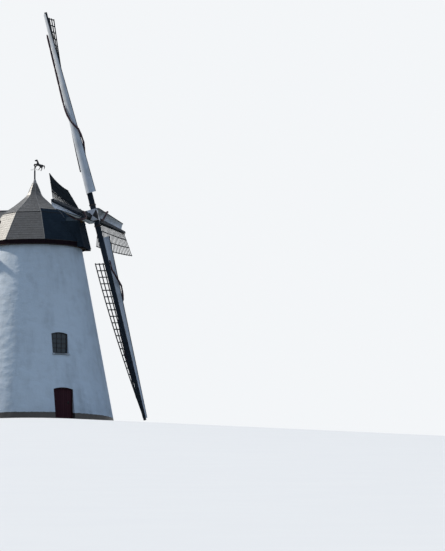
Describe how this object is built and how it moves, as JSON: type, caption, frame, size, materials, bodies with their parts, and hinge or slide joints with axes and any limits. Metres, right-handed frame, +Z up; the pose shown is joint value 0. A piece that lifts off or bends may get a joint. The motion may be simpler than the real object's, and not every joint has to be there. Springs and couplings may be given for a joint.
{
  "type": "traditional round tower windmill",
  "caption": "Round whitewashed tower windmill with an eight-sided slate cap that turns, long twisted lattice sails, tail pole and a horse weathervane.",
  "frame": {"origin": "centre of the tower's foot, on the ground", "axes": "+Z up, the door faces -Y; at rest the cap's windshaft points 56 degrees from -Y towards +X"},
  "size_m": [15.1998, 20.4523, 23.9948],
  "materials": {
    "lime_plaster": "limewashed lime plaster over rubble masonry, lumpy, tarred black at the foot",
    "flagstone": "worn stone paving",
    "white_stone": "painted stone sill",
    "slate": "small lapped roofing slates over boards",
    "dark_timber": "tarred and painted boards, dark maroon",
    "door_paint": "dark maroon paint on upright boards",
    "oak": "old unpainted oak, dry and checked",
    "black_timber": "tarred black timber",
    "white_boards": "pale blue-white painted boards with a dark edge",
    "lattice_timber": "dark stained slender bars",
    "sail_cloth": "tanned maroon canvas, furled",
    "iron": "black painted iron",
    "poll_paint": "cast iron painted in dark and white triangles",
    "lead_sheet": "dull grey sheet metal",
    "vane_paint": "dark painted sheet",
    "window_paint": "dark paint",
    "pane": "old window glass"
  },
  "bodies": {
    "tower": {"tower_wall_1": "lime_plaster", "tower_wall_2": "lime_plaster", "tower_wall_3": "lime_plaster", "tower_wall_4": "lime_plaster", "tower_wall_5": "lime_plaster", "tower_wall_6": "lime_plaster", "tower_wall_7": "lime_plaster", "tower_wall_8": "lime_plaster", "tower_wall_9": "lime_plaster", "door_jamb_left": "lime_plaster", "door_jamb_right": "lime_plaster", "wall_over_door": "lime_plaster", "ground_floor": "flagstone", "upper_floor": "oak", "door_frame": "door_paint", "door_threshold": "flagstone", "door_pintles": "iron", "window_frame": "window_paint", "window_glass": "pane", "window_sill": "white_stone", "curb_ring": "oak"},
    "door": {"door_leaf": "door_paint", "door_straps": "iron"},
    "cap": {"cap_ring": "oak", "curb_skirt": "dark_timber", "roof_shell": "slate", "front_extension": "black_timber", "rear_extension": "slate", "front_wall": "dark_timber", "rear_wall": "dark_timber", "sheers": "oak", "weather_beam": "oak", "weather_posts": "oak", "neck_bearing": "iron", "tail_beam": "oak", "tail_bearing": "oak", "tail_cross_beam": "black_timber", "tail_pole": "black_timber", "tail_braces": "black_timber", "apex_cap": "lead_sheet", "finial_pole": "iron"},
    "sails": {"windshaft": "oak", "poll_end": "poll_paint", "stock_a": "black_timber", "stock_b": "black_timber", "stock_clamps": "iron", "leading_boards": "white_boards", "sail_lattices": "lattice_timber", "furled_cloths": "sail_cloth"},
    "vane": {"horse_vane": "vane_paint"}
  },
  "joints": [
    {"name": "door_swing", "type": "hinge", "parent": "tower", "child": "door", "pos_m": [-0.59, -4.069, 0.9], "axis": [0, 0, 1], "range_deg": [0, 95]},
    {"name": "cap_turn", "type": "hinge", "parent": "tower", "child": "cap", "pos_m": [0, 0, 10.3], "axis": [0, 0, 1], "continuous": true},
    {"name": "sail_spin", "type": "hinge", "parent": "cap", "child": "sails", "pos_m": [2.86018, -1.92922, 12.1], "axis": [0.8061, -0.5437, 0.2334], "continuous": true},
    {"name": "vane_turn", "type": "hinge", "parent": "cap", "child": "vane", "pos_m": [0, 0, 14.83], "axis": [0, 0, 1], "continuous": true}
  ]
}
